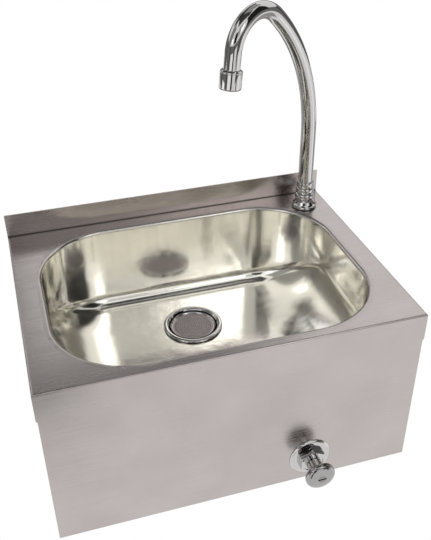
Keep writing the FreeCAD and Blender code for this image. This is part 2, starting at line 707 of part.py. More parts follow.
def tier(radius, low, high):
    """Profile points of one round tier with both edges broken."""
    return [(radius + " - tier_break", low), (radius, low + " + tier_break"),
            (radius, high + " - tier_break"), (radius + " - tier_break", high)]


def make_tap_base():
    """Turned tap body: flange, bell skirt, three tiers round the spout's socket, and shank."""
    seat = "tap_gasket"
    flange = seat + " + tap_flange_rise"
    skirt = flange + " + skirt_height"
    lower = skirt + " + lower_tier"
    middle_low = lower + " + tier_groove"
    middle = middle_low + " + middle_tier"
    top_low = middle + " + tier_groove"
    top = top_low + " + top_tier"
    floor = "tier_groove_dia / 2"
    foot = "-1 * shank_drop"
    body = turned("tap_base", [
        ("0", foot), ("shank_dia / 2", foot), ("shank_dia / 2", seat), ("tap_flange_dia / 2", seat),
        ("tap_flange_dia / 2", flange + " - edge_break / 2"), ("skirt_dia / 2", flange),
        ("skirt_waist_dia / 2", flange + " + skirt_height / 2")]
        + tier("lower_tier_dia / 2", skirt, lower) + [(floor, lower), (floor, middle_low)]
        + tier("middle_tier_dia / 2", middle_low, middle) + [(floor, middle), (floor, top_low)]
        + tier("top_tier_dia / 2", top_low, top) + [("0", top)], TAP)
    socket = "tube_dia / 2 + run_gap"
    snap_low = "socket_height + snap_level"
    snap_high = snap_low + " + snap_wire"
    revolve(body, [
        ("0", foot), ("pipe_dia / 2 + run_gap", foot), ("pipe_dia / 2 + run_gap", foot + " + pipe_insert"),
        ("port_bore / 2", foot + " + pipe_insert"), ("port_bore / 2", "socket_height"),
        (socket, "socket_height"), (socket, snap_low), (socket + " + snap_reach", snap_low),
        (socket + " + snap_reach", snap_high), (socket, snap_high), (socket, top), ("0", top)], "Groove")
    return body


def make_tap_fixings():
    """What holds the tap body in the deck."""
    ring("tap_gasket", "(tap_flange_dia - 1)", "shank_dia", "0", "tap_gasket", TAP)
    under = "-1 * sheet_gauge"
    washer = under + " - washer_under"
    ring("tap_under_washer", "washer_under_dia", "shank_dia", washer, under, TAP)
    hex_nut("tap_locknut", "locknut_flats", "shank_dia", washer + " - locknut_height", washer, TAP)


def make_spout_bearing():
    """Washer, ferrule, seal and snap ring on which the spout turns."""
    seat = "socket_height + bearing_washer"
    shoulder = seat + " + ferrule_height"
    bore, skin = "ferrule_bore / 2", "tube_dia / 2"
    ring("spout_bearing_washer", "tube_dia", "port_bore", "socket_height", seat, TAP)
    ring_low = seat + " + o_ring_wire"
    ring_high = ring_low + " + o_ring_groove"
    groove = skin + " - o_ring_wire"
    snap_low = "socket_height + snap_level"
    snap_high = snap_low + " + snap_wire"
    snap_floor = skin + " - snap_wire"
    turned("spout_ferrule", [
        (bore, seat), (skin, seat), (skin, ring_low), (groove, ring_low), (groove, ring_high),
        (skin, ring_high), (skin, snap_low + " - small_gap"), (snap_floor, snap_low + " - small_gap"),
        (snap_floor, snap_high + " + small_gap"), (skin, snap_high + " + small_gap"),
        (skin, shoulder), (skin + " - tube_wall", shoulder),
        (skin + " - tube_wall", shoulder + " + ferrule_spigot"), (bore, shoulder + " + ferrule_spigot")],
        TAP)
    torus("spout_o_ring", skin + " - o_ring_wire / 2", "o_ring_wire / 2",
          (TAP[0], TAP[1], ring_low + " + o_ring_groove / 2"))
    snap = ring("spout_snap_ring", "(tube_dia + run_gap * 2 + snap_reach * 2)",
                "(tube_dia - snap_wire * 2 + small_gap)", snap_low, snap_high, TAP)
    gap = outline(new_sketch(snap, "XY_Plane"),
                  rectangle("0", "-1 * snap_wire * 2", "tube_dia", "snap_wire * 2"))
    feature(snap, "Pocket", gap, Type="ThroughAll", Midplane=True)


def torus(label, radius, wire, at, turn=UP):
    made = doc.addObject("Part::Torus", label)
    bind(made, "Radius1", radius)
    bind(made, "Radius2", wire)
    place(made, at, turn)
    return keep(made, label)


def make_spout_tube():
    """Swan-neck tube in one plane: straight, leaning arc, tight arc, straight."""
    heading = Rotation(Vector(0, 0, 1), size("spout_angle"))
    body = new_body("spout_tube", TAP, heading)
    start = "socket_height + bearing_washer + ferrule_height"
    one, both = "arch_angle * 1 deg", "(arch_angle + hook_angle) * 1 deg"
    knee_x = "arch_radius * (1 - cos(%s))" % one
    knee_z = "spout_rise + arch_radius * sin(%s)" % one
    centre_x = knee_x + " + hook_radius * cos(%s)" % one
    centre_z = knee_z + " - hook_radius * sin(%s)" % one
    end_x = centre_x + " - hook_radius * cos(%s)" % both
    end_z = centre_z + " + hook_radius * sin(%s)" % both
    reach = "(spout_drop - nozzle_length + nozzle_overlap)"
    path = new_sketch(body, "XZ_Plane")
    leg = path.addGeometry(Part.LineSegment(spot_at("0", start), spot_at("0", "spout_rise")), False)
    pin(path, leg, 1, "0", start)
    pin(path, leg, 2, "0", "spout_rise")
    # Both arcs are drawn anticlockwise, so each one starts at its outlet side.
    lean = add_arc(path, ("arch_radius", "spout_rise"), (knee_x, knee_z), ("0", "spout_rise"))
    pin(path, lean, 3, "arch_radius", "spout_rise")
    path.addConstraint(Sketcher.Constraint("Coincident", lean, 2, leg, 2))
    pin_across(path, lean, 1, knee_x)
    hook = add_arc(path, (centre_x, centre_z), (end_x, end_z), (knee_x, knee_z))
    pin(path, hook, 3, centre_x, centre_z)
    path.addConstraint(Sketcher.Constraint("Coincident", hook, 2, lean, 1))
    pin_across(path, hook, 1, end_x)
    tip_x = end_x + " + %s * sin(%s)" % (reach, both)
    tip_z = end_z + " + %s * cos(%s)" % (reach, both)
    drop = path.addGeometry(Part.LineSegment(spot_at(end_x, end_z), spot_at(tip_x, tip_z)), False)
    path.addConstraint(Sketcher.Constraint("Coincident", drop, 1, hook, 1))
    pin(path, drop, 2, tip_x, tip_z)
    section = new_sketch(body, "XY_Plane", start)
    circle(section, "tube_dia / 2")
    circle(section, "tube_dia / 2 - tube_wall")
    pipe = feature(body, "AdditivePipe", section)
    pipe.Spine = (path, ["Edge%d" % number for number in range(1, 5)])
    tip = Vector(size(tip_x), 0, size(tip_z))
    return heading, tip


def spot_at(x, y):
    return Vector(size(x), size(y), 0)


def add_arc(sketch, centre, start, end):
    """Anticlockwise arc from start to end about a centre, all given as formulas."""
    middle, first, last = spot_at(*centre), spot_at(*start), spot_at(*end)
    arm, far = first - middle, last - middle
    begin = math.atan2(arm.y, arm.x)
    finish = math.atan2(far.y, far.x)
    if finish < begin:
        finish += 2 * math.pi
    ring_curve = Part.Circle(middle, Vector(0, 0, 1), arm.Length)
    return sketch.addGeometry(Part.ArcOfCircle(ring_curve, begin, finish), False)


def pin_across(sketch, geo, end, x):
    """Dimension only the sideways place of a point."""
    index = sketch.addConstraint(Sketcher.Constraint("DistanceX", -1, 1, geo, end, size(x)))
    bind(sketch, "Constraints[%d]" % index, x)


def make_nozzle(heading, tube_end):
    """Aerator housing and its inside, drawn from the housing's top towards the outlet."""
    lean = Rotation(Vector(0, 1, 0), size("arch_angle + hook_angle"))
    turn = heading.multiply(lean)
    axis = turn.multVec(Vector(0, 0, 1))
    origin = spot_3d(TAP) + heading.multVec(tube_end) - axis * size("nozzle_overlap")

    def seat(body):
        for prop in "xyz":
            body.setExpression("Placement.Base." + prop, None)
        body.Placement = Placement(origin, turn)

    inner, outer = "insert_dia / 2 + run_gap", "nozzle_dia / 2"
    tube = "tube_dia / 2"
    low = "nozzle_overlap + small_gap"
    housing = turned("aerator_housing", [
        (tube, "0"), (outer + " - nozzle_bevel", "0"), (outer, "nozzle_bevel"),
        (outer, "nozzle_length - nozzle_bevel"), (outer + " - nozzle_bevel / 2", "nozzle_length"),
        (inner, "nozzle_length"), (inner, low), (tube, low)])
    washer = ring("aerator_washer", "insert_dia", "(tube_dia - tube_wall * 2)", low,
                  low + " + aerator_washer")
    top = low + " + aerator_washer"
    foot = "nozzle_length - insert_inset"
    insert = turned("aerator_insert", [
        ("0", foot + " - insert_wall * 2"), ("insert_dia / 2 - insert_wall", foot + " - insert_wall * 2"),
        ("insert_dia / 2 - insert_wall", top), ("insert_dia / 2", top), ("insert_dia / 2", foot),
        ("insert_dia / 2 - insert_wall", foot), ("insert_dia / 2 - insert_wall", foot + " - insert_wall"),
        ("0", foot + " - insert_wall")])
    perforate(insert, "insert_hole / 2", "insert_pitch", "insert_rings")
    for body in (housing, washer, insert):
        seat(body)


def spot_3d(at):
    return Vector(*[size(text) for text in at])


# ---------------------------------------------------------------- push valve

def valve_at(level):
    """A place on the valve axis, given its distance behind the front face."""
    return ("valve_side", "-1 * basin_depth + (%s)" % level, "-1 * valve_drop")


NECK_FRONT = "-1 * (rosette_rise + front_nut_height - neck_recess)"
STEM_STOP = "stem_in + stroke_room"
CHAMBER_A = STEM_STOP + " + guide_length"
SEAT_FRONT = CHAMBER_A + " + outlet_chamber"
SEAT_BACK = SEAT_FRONT + " + seat_length"
BODY_BACK = "neck_inside + valve_length"
HEAD_FRONT = SEAT_BACK + " + seat_seal"
HEAD_BACK = HEAD_FRONT + " + head_length"
CAP_FRONT = BODY_BACK + " - cap_spigot"


def make_valve_body():
    """Valve body with its threaded neck, chambers, seat, inlet and outlet."""
    body = turned("valve_body", [
        ("0", NECK_FRONT), ("neck_dia / 2", NECK_FRONT), ("neck_dia / 2", "neck_inside"),
        ("valve_dia / 2", "neck_inside"), ("valve_dia / 2", BODY_BACK), ("0", BODY_BACK)],
        valve_at("0"), INWARD)
    for radius, reach in (("inlet_boss_dia / 2", "inlet_boss"),
                          ("inlet_dia / 2 - groove_depth", "inlet_boss + groove_width")):
        inlet = circle(new_sketch(body, "XZ_Plane"), radius, "0", "inlet_level")
        feature(body, "Pad", inlet, Length=reach, Reversed=True)
    thread = circle(new_sketch(body, "XZ_Plane", "-1 * (inlet_boss + groove_width)"), "inlet_dia / 2", "0",
                    "inlet_level")
    feature(body, "Pad", thread, Length="inlet_reach - inlet_boss - groove_width", Reversed=True)
    outlet = circle(new_sketch(body, "YZ_Plane"), "outlet_dia / 2", "0", "outlet_level")
    feature(body, "Pad", outlet, Length="outlet_reach")
    revolve(body, [
        ("0", NECK_FRONT), ("stem_dia / 2 + run_gap", NECK_FRONT), ("stem_dia / 2 + run_gap", STEM_STOP),
        ("spindle_dia / 2 + run_gap", STEM_STOP), ("spindle_dia / 2 + run_gap", CHAMBER_A),
        ("outlet_chamber_dia / 2", CHAMBER_A), ("outlet_chamber_dia / 2", SEAT_FRONT),
        ("seat_dia / 2", SEAT_FRONT), ("seat_dia / 2", SEAT_BACK),
        ("inlet_chamber_dia / 2", SEAT_BACK), ("inlet_chamber_dia / 2", BODY_BACK), ("0", BODY_BACK)],
        "Groove")
    way_in = circle(new_sketch(body, "XZ_Plane"), "inlet_bore / 2", "0", "inlet_level")
    feature(body, "Pocket", way_in, Length="inlet_reach")
    way_out = circle(new_sketch(body, "YZ_Plane"), "port_bore / 2", "0", "outlet_level")
    feature(body, "Pocket", way_out, Length="outlet_reach", Reversed=True)
    socket = circle(new_sketch(body, "YZ_Plane", "outlet_reach - pipe_insert"),
                    "pipe_dia / 2 + run_gap", "0", "outlet_level")
    feature(body, "Pocket", socket, Length="pipe_insert", Reversed=True)
    return body


def make_valve_fixings():
    """Rosette and nuts that clamp the valve to the front, and the end cap."""
    rim = "rosette_dia / 2"
    turned("valve_rosette", [
        ("neck_dia / 2", "-1 * rosette_rise"), (rim + " - rosette_slope", "-1 * rosette_rise"),
        (rim + " - rosette_bevel", "-1 * rosette_shoulder"), (rim, "-1 * rosette_edge"), (rim, "0"),
        ("neck_dia / 2", "0")], valve_at("0"), INWARD)
    hex_nut("valve_front_nut", "front_nut_flats", "neck_dia",
            "-1 * (rosette_rise + front_nut_height)", "-1 * rosette_rise", valve_at("0"), INWARD)
    washer = "sheet_gauge + rear_washer"
    ring("valve_rear_washer", "rear_washer_dia", "neck_dia", "sheet_gauge", washer, valve_at("0"), INWARD)
    hex_nut("valve_rear_nut", "rear_nut_flats", "neck_dia", washer, washer + " + rear_nut_height",
            valve_at("0"), INWARD)
    seal = BODY_BACK + " + cap_seal"
    ring("end_cap_seal", "valve_dia", "inlet_chamber_dia", BODY_BACK, seal, valve_at("0"), INWARD)
    corner = "cap_flats / sqrt(3)"
    cap = turned("valve_end_cap", [
        ("0", CAP_FRONT), ("inlet_chamber_dia / 2", CAP_FRONT), ("inlet_chamber_dia / 2", seal),
        (corner, seal), (corner, seal + " + cap_height - edge_break"),
        (corner + " - edge_break", seal + " + cap_height"), ("0", seal + " + cap_height")],
        valve_at("0"), INWARD)
    mill_flats(cap, "cap_flats", seal, seal + " + cap_height")


def make_push_group():
    """Everything that travels with the push cap."""
    front = "-1 * (stem_out + push_height)"
    floor = front + " + screw_sink"
    bore, edge = "screw_dia / 2", "push_dia / 2"
    cap = turned("push_cap", [
        (bore, floor), ("screw_head / 2", floor), ("screw_head / 2", front),
        ("shoulder_dia / 2", front + " + shoulder_fall"), (edge, front + " + push_crown"),
        (edge, "-1 * stem_out"), (bore, "-1 * stem_out")], valve_at("0"), INWARD)
    shoulder, wide, crown = size("shoulder_dia"), size("push_dia"), size(front + " + push_crown")
    dress(cap, "Fillet", "shoulder_round", lambda at, box: near(box.XLength, shoulder))
    dress(cap, "Fillet", "push_round",
          lambda at, box: near(box.XLength, wide) and near(box.ZMax, crown))
    screw_end = floor + " + screw_length"
    groove_low = "seal_level"
    groove_high = groove_low + " + o_ring_groove"
    skin, groove = "stem_dia / 2", "stem_dia / 2 - o_ring_wire"
    spindle_front = "stem_in - spindle_hold"
    spindle = "spindle_dia / 2"
    turned("push_stem", [
        (bore, "-1 * stem_out"), (skin, "-1 * stem_out"), (skin, groove_low), (groove, groove_low),
        (groove, groove_high), (skin, groove_high), (skin, "stem_in"), (spindle, "stem_in"),
        (spindle, spindle_front), ("0", spindle_front), ("0", screw_end), (bore, screw_end)],
        valve_at("0"), INWARD)
    screw = turned("cap_screw", [
        ("0", front), ("screw_head / 2 - run_gap", front), ("screw_head / 2 - run_gap", floor),
        (bore, floor), (bore, screw_end), ("0", screw_end)], valve_at("0"), INWARD)
    slot = new_sketch(screw, "YZ_Plane")
    outline(slot, rectangle("-1 * slot_width / 2", front, "slot_width / 2", front + " + slot_depth"))
    feature(screw, "Pocket", slot, Length="screw_head * 2", Midplane=True)
    torus("stem_o_ring", "stem_dia / 2 - o_ring_wire / 2", "o_ring_wire / 2",
          valve_at(groove_low + " + o_ring_groove / 2"), INWARD)
    turned("valve_spindle", rectangle("0", spindle_front, spindle, HEAD_BACK), valve_at("0"), INWARD)
    ring("valve_seat_seal", "(head_dia - 1)", "spindle_dia", SEAT_BACK, HEAD_FRONT, valve_at("0"), INWARD)
    ring("valve_head", "head_dia", "spindle_dia", HEAD_FRONT, HEAD_BACK, valve_at("0"), INWARD)


def make_spring():
    """Return spring between the valve head and the end cap, ends set in from both faces."""
    body = new_body("return_spring", valve_at("0"), INWARD)
    low = HEAD_BACK + " + spring_wire / 2"
    high = CAP_FRONT + " - spring_wire / 2"
    section = circle(new_sketch(body, "XZ_Plane"), "spring_wire / 2", "spring_dia / 2", low)
    coil = body.newObject("PartDesign::AdditiveHelix", "return_spring_coil")
    coil.Profile = section
    coil.ReferenceAxis = (section, ["V_Axis"])
    coil.Mode = "height-turns-angle"
    bind(coil, "Height", "(%s) - (%s)" % (high, low))
    bind(coil, "Turns", "spring_turns")
    section.Visibility = False
    return body


# ---------------------------------------------------------------- supply pipe

def make_union(prefix, thread, flats, end, at, turn):
    """Union nut and compression ring beyond a threaded end."""
    low = end + " - union_grip"
    face = end + " + olive_length"
    back = face + " + union_wall"
    corner = flats + " / sqrt(3)"
    pipe = "pipe_dia / 2"
    nut = turned(prefix + "_union_nut", [
        (thread + " / 2", low), (corner + " - edge_break", low), (corner, low + " + edge_break"),
        (corner, back + " - edge_break"), (corner + " - edge_break", back), (pipe + " + run_gap", back),
        (pipe + " + run_gap", face), (thread + " / 2", face)], at, turn)
    mill_flats(nut, flats, low, back)
    ring(prefix + "_olive", "olive_dia", "pipe_dia", end, face, at, turn)


def make_pipe():
    """Supply pipe from the valve outlet to the tap shank, with three round bends."""
    level = size("-1 * basin_depth + outlet_level")
    start = Vector(size("valve_side + outlet_reach - pipe_insert + small_gap"), level, -size("valve_drop"))
    corner = Vector(size("tap_side"), level, -size("valve_drop"))
    under = Vector(size("tap_side"), -size("tap_back"), -size("valve_drop"))
    end = Vector(size("tap_side"), -size("tap_back"), size("-1 * shank_drop + pipe_insert - small_gap"))
    route = rounded_route([start, corner, under, end], size("pipe_bend"))
    outside = swept_disc(route, start, Vector(1, 0, 0), size("pipe_dia / 2"))
    inside = swept_disc(route, start, Vector(1, 0, 0), size("pipe_dia / 2 - pipe_wall"))
    pipe = doc.addObject("Part::Feature", "supply_pipe")
    pipe.Shape = outside.cut(inside)
    return keep(pipe, "supply_pipe")


def rounded_route(corners, radius):
    """Wire through the corners, each right-angled turn rounded by an arc."""
    edges = []
    last = corners[0]
    for before, corner, after in zip(corners, corners[1:], corners[2:]):
        back = (before - corner).normalize()
        ahead = (after - corner).normalize()
        centre = corner + (back + ahead) * radius
        entry, leave = corner + back * radius, corner + ahead * radius
        middle = centre + (corner - centre).normalize() * radius
        edges.append(Part.LineSegment(last, entry).toShape())
        edges.append(Part.Arc(entry, middle, leave).toShape())
        last = leave
    edges.append(Part.LineSegment(last, corners[-1]).toShape())
    return Part.Wire(edges)


def swept_disc(route, start, heading, radius):
    section = Part.Wire([Part.makeCircle(radius, start, heading)])
    return route.makePipeShell([section], True, False)


# ---------------------------------------------------------------- build, check and write

make_deck()
side_panel = make_side_panel()
make_left_panel(side_panel)
make_rail()
make_bracket()
make_bowl()
make_waste()
make_tap_base()
make_tap_fixings()
make_spout_bearing()
spout_heading, spout_end = make_spout_tube()
make_nozzle(spout_heading, spout_end)
make_valve_body()
make_valve_fixings()
make_push_group()
make_spring()
make_pipe()
make_union("tap", "shank_dia", "union_flats_tap", "shank_drop", TAP, DOWN)
make_union("valve", "outlet_dia", "union_flats_valve", "outlet_reach",
           ("valve_side", "-1 * basin_depth + outlet_level", "-1 * valve_drop"), RIGHT)
doc.recompute()

for thing in doc.Objects:
    if "Invalid" in thing.State or "Error" in thing.State:
        raise RuntimeError("%s could not be built" % thing.Name)
for part in parts:
    if part.Shape.isNull() or not part.Shape.isValid() or not part.Shape.Solids:
        raise RuntimeError("%s has no valid shape" % part.Label)

os.makedirs("parts", exist_ok=True)
for part in parts:
    part.Shape.exportStep("parts/%s.step" % part.Label)
    box = part.Shape.BoundBox
    print("%-22s %2d solid %9.0f mm3  x %.1f..%.1f  y %.1f..%.1f  z %.1f..%.1f" % (
        part.Label, len(part.Shape.Solids), part.Shape.Volume, box.XMin, box.XMax,
        box.YMin, box.YMax, box.ZMin, box.ZMax))
print(len(parts), "sub-parts written")
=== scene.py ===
"""Looks of a wall-hung stainless steel hand wash basin.

Lengths are in metres: x = 0 at mid-width, y = 0 on the wall plane with the user on the -y side,
z = 0 on top of the deck.  The profiles of turned pieces are in millimetres, and MM turns
millimetres into metres.
"""
import json
import math

import bmesh
import bpy
from mathutils import Matrix, Vector


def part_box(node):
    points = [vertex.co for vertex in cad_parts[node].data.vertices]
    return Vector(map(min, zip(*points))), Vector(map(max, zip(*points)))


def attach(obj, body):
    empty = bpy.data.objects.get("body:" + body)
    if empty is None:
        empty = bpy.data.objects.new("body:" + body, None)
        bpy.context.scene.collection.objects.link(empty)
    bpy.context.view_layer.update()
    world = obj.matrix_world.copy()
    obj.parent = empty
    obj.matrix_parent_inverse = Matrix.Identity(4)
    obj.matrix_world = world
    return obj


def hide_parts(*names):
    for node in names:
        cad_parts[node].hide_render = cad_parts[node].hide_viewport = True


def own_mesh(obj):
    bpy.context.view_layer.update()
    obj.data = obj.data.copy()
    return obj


MM = 0.001

# Camera fitted to the photograph: place, heading from +y towards +x, tilt and roll in radians.
CAMERA_PLACE = Vector((-0.18306, -0.81383, 0.46247))
CAMERA_HEADING = 0.2906
CAMERA_TILT = -0.5852
CAMERA_ROLL = -0.0107
CAMERA_LENS = 49.995
SENSOR = 36
NEAREST_SEEN = 10 * MM

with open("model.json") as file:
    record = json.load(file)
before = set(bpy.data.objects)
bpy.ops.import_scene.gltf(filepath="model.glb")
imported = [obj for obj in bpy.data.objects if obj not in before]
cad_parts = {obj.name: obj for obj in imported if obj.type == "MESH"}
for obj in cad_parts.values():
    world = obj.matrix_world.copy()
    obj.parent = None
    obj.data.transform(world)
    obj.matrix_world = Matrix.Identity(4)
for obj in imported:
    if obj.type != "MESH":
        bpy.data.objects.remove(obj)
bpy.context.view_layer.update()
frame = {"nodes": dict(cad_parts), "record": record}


def middle(node):
    """Middle of a solid's box."""
    low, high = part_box(node)
    return (low + high) / 2


# ---------------------------------------------------------------- shader nodes

# Share of the noise texture's range that most of its values fill.
NOISE_LOW, NOISE_HIGH = 0.3, 0.7
METAL, NOT_METAL = 1, 0


def shader_material(name, base, metallic, roughness):
    """New material with one Principled shader; returns the material, its tree and the shader.

    The base colour and the roughness stand in wherever no texture is linked to them.
    """
    material = bpy.data.materials.new(name)
    material.use_nodes = True
    tree = material.node_tree
    shader = tree.nodes["Principled BSDF"]
    shader.inputs["Base Color"].default_value = (*base, 1)
    shader.inputs["Metallic"].default_value = metallic
    shader.inputs["Roughness"].default_value = roughness
    return material, tree, shader


def add_node(tree, kind, **settings):
    node = tree.nodes.new("ShaderNode" + kind)
    for name, setting in settings.items():
        setattr(node, name, setting)
    return node


def coordinate(tree, axis):
    """One of the object coordinates."""
    place = add_node(tree, "TexCoord")
    split = add_node(tree, "SeparateXYZ")
    tree.links.new(place.outputs["Object"], split.inputs[0])
    return split.outputs[axis]


def stretched(tree, scale):
    """Object coordinates times one scale, or times one scale for each axis."""
    place = add_node(tree, "TexCoord")
    mapping = add_node(tree, "Mapping")
    mapping.inputs["Scale"].default_value = scale if isinstance(scale, tuple) else (scale,) * 3
    tree.links.new(place.outputs["Object"], mapping.inputs["Vector"])
    return mapping.outputs["Vector"]


def noise(tree, scale, detail=3):
    """Noise over stretched object coordinates; returns its 0 to 1 output."""
    texture = add_node(tree, "TexNoise")
    texture.inputs["Scale"].default_value = 1
    texture.inputs["Detail"].default_value = detail
    tree.links.new(stretched(tree, scale), texture.inputs["Vector"])
    return texture.outputs["Fac"]


def ranged(tree, source, low, high, start=NOISE_LOW, end=NOISE_HIGH):
    """Source mapped from start..end to low..high."""
    node = add_node(tree, "MapRange")
    for name, setting in (("From Min", start), ("From Max", end), ("To Min", low), ("To Max", high)):
        node.inputs[name].default_value = setting
    tree.links.new(source, node.inputs["Value"])
    return node.outputs["Result"]


def blended(tree, factor, first, second):
    """Colour mix by a factor; the first colour is a constant or an output."""
    node = add_node(tree, "Mix", data_type="RGBA")
    if isinstance(first, tuple):
        node.inputs["A"].default_value = (*first, 1)
    else:
        tree.links.new(first, node.inputs["A"])
    node.inputs["B"].default_value = (*second, 1)
    tree.links.new(factor, node.inputs["Factor"])
    return node.outputs["Result"]


def nearness(tree, scale, point, full, none):
    """One within a distance of a point in scaled object coordinates, falling to zero further out."""
    gap = add_node(tree, "VectorMath", operation="DISTANCE")
    tree.links.new(stretched(tree, scale), gap.inputs[0])
    gap.inputs[1].default_value = point
    return ranged(tree, gap.outputs["Value"], 1, 0, full, none)


def calculated(tree, operation, first, second):
    """Result of a sum or of another operation on two outputs."""
    node = add_node(tree, "Math", operation=operation)
    tree.links.new(first, node.inputs[0])
    tree.links.new(second, node.inputs[1])
    return node.outputs[0]


def paint(tree, shader, colour, roughness):
    """Link outputs to a shader's colour and roughness."""
    tree.links.new(colour, shader.inputs["Base Color"])
    tree.links.new(roughness, shader.inputs["Roughness"])


def bumps(tree, shader, *layers):
    """Chain of bump layers of (height source, height in metres)."""
    normal = None
    for source, height in layers:
        bump = add_node(tree, "Bump")
        bump.inputs["Distance"].default_value = height
        tree.links.new(source, bump.inputs["Height"])
        if normal:
            tree.links.new(normal, bump.inputs["Normal"])
        normal = bump.outputs["Normal"]
    tree.links.new(normal, shader.inputs["Normal"])


# ---------------------------------------------------------------- materials

SHEET_GAUGE = 1.2 * MM
# Radius of the strainer's punched field, and the radius at which its painted shade of the holes ends.
PUNCHED_RADIUS = 24.6 * MM
PUNCHED_FADE = 1.02 * PUNCHED_RADIUS
# Depth under the screw's face at which the painted shade in its slot starts.
SLOT_START = 0.4 * MM
# Heights of bumps.
SCRATCH = 0.02 * MM
PITTING = 0.03 * MM
MOULDING = 0.05 * MM
SHEET_WAVE = 0.5 * MM
# Noise scales along x, y and z that draw brush lines along x, and along y.
BRUSHED_ALONG = (9, 700, 700)
BRUSHED_TO_WALL = (700, 9, 700)


def filmed(name, base, metallic, plain_roughness, scale, tones, roughness, height, detail=3, full=False):
    """Material whose tone, roughness and bump follow one noise; full widens its change of tone."""
    material, tree, shader = shader_material(name, base, metallic, plain_roughness)
    film = noise(tree, scale, detail)
    factor = ranged(tree, film, 0, 1) if full else film
    paint(tree, shader, blended(tree, factor, *tones), ranged(tree, film, *roughness))
    bumps(tree, shader, (film, height))
    return material


def brushed_steel(name, strokes):
    """Satin sheet brushed along one axis, softly mottled, with painted shade along the crease at the upstand.
    """
    tones, painted_crease_shade = ((0.49, 0.447, 0.432), (0.545, 0.502, 0.487)), (0.23, 0.21, 0.2)
    smoothest, roughest = 0.2, 0.28
    crease_core, crease_reach = 0.7 * MM, 2.2 * MM
    mottle_scale, wave_scale = 14, 7
    material, tree, shader = shader_material(name, (0.5, 0.46, 0.45), METAL, 0.24)
    grain = noise(tree, strokes, detail=2)
    mottle = noise(tree, mottle_scale, detail=4)
    sheet = blended(tree, ranged(tree, mottle, 0, 1), *tones)
    # Painted shade: the sheet turns dark within a few millimetres of the crease at the upstand's foot.
    crease = nearness(tree, (0, 1, 1), (0, -SHEET_GAUGE, 0), crease_core, crease_reach)
    roughness = ranged(tree, grain, smoothest, roughest)
    paint(tree, shader, blended(tree, crease, sheet, painted_crease_shade), roughness)
    bumps(tree, shader, (grain, SCRATCH), (noise(tree, wave_scale, detail=1), SHEET_WAVE))
    return material


def polished_steel():
    """Drawn and polished bowl with faint drawing marks, its rim ground to match the deck."""
    tones, ground = ((0.87, 0.85, 0.785), (0.93, 0.91, 0.845)), (0.5, 0.46, 0.445)
    smoothest, roughest, rim_roughness = 0.12, 0.18, 0.1
    rim_foot, rim_top = -3.2 * MM, -0.6 * MM
    drawn_scale, cloud_scale = (120, 120, 8), 22
    material, tree, shader = shader_material("steel_polished", (0.8, 0.78, 0.7), METAL, 0.17)
    drawn = noise(tree, drawn_scale, detail=2)
    cloud = noise(tree, cloud_scale)
    sheet = blended(tree, ranged(tree, cloud, 0, 1), *tones)
    rim = ranged(tree, coordinate(tree, "Z"), 0, 1, rim_foot, rim_top)
    satin = ranged(tree, rim, 0, rim_roughness, 0, 1)
    roughness = calculated(tree, "ADD", ranged(tree, drawn, smoothest, roughest), satin)
    paint(tree, shader, blended(tree, rim, sheet, ground), roughness)
    bumps(tree, shader, (drawn, SCRATCH), (cloud, SHEET_WAVE))
    return material


def chrome():
    """Polished plate with a very slight unevenness."""
    tones = ((0.53, 0.52, 0.515), (0.6, 0.59, 0.585))
    smoothest, roughest = 0.03, 0.075
    film_scale, ripple_scale = 260, 24
    material, tree, shader = shader_material("chrome_plate", (0.6, 0.6, 0.6), METAL, 0.05)
    film = noise(tree, film_scale, detail=2)
    paint(tree, shader, blended(tree, film, *tones), ranged(tree, film, smoothest, roughest))
    bumps(tree, shader, (noise(tree, ripple_scale, detail=1), PITTING))
    return material


def slotted_head():
    """Satin screw head, its slot painted dark as shade."""
    head_tone, slot_shade = (0.3, 0.29, 0.285), (0.02, 0.018, 0.018)
    smoothest, roughest = 0.15, 0.25
    film_scale = 220
    material, tree, shader = shader_material("screw_slotted", head_tone, METAL, 0.2)
    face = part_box("cap_screw")[0].y
    # Painted shade: the slot turns dark below the head's face.
    inside = ranged(tree, coordinate(tree, "Y"), 0, 1, face + SLOT_START, face + 2 * SLOT_START)
    film = noise(tree, film_scale)
    paint(tree, shader, blended(tree, inside, head_tone, slot_shade), ranged(tree, film, smoothest, roughest))
    bumps(tree, shader, (film, SCRATCH))
    return material


def strainer_steel():
    """Satin plate with painted shade of its holes over its punched field, and bright on its border."""
    tones, bright = ((0.26, 0.23, 0.235), (0.38, 0.34, 0.345)), (0.6, 0.57, 0.56)
    smoothest, roughest = 0.3, 0.45
    film_scale = 180
    centre = (middle("strainer_plate").x, middle("strainer_plate").y, 0)
    material, tree, shader = shader_material("steel_strainer", (0.34, 0.32, 0.32), METAL, 0.36)
    film = noise(tree, film_scale)
    # Painted shade: these dark tones stand in for the shade inside the punched holes.
    plate = blended(tree, film, *tones)
    field = nearness(tree, (1, 1, 0), centre, PUNCHED_RADIUS, PUNCHED_FADE)
    border = ranged(tree, field, 1, 0, 0, 1)
    paint(tree, shader, blended(tree, border, plate, bright), ranged(tree, film, smoothest, roughest))
    bumps(tree, shader, (film, PITTING))
    return material


def small_steel():
    """Ground bar and drawn wire."""
    smoothest, roughest = 0.24, 0.38
    mark_scale = (500, 60, 500)
    material, tree, shader = shader_material("steel_small", (0.4, 0.4, 0.4), METAL, 0.3)
    marks = noise(tree, mark_scale, detail=2)
    tree.links.new(ranged(tree, marks, smoothest, roughest), shader.inputs["Roughness"])
    bumps(tree, shader, (marks, SCRATCH))
    return material


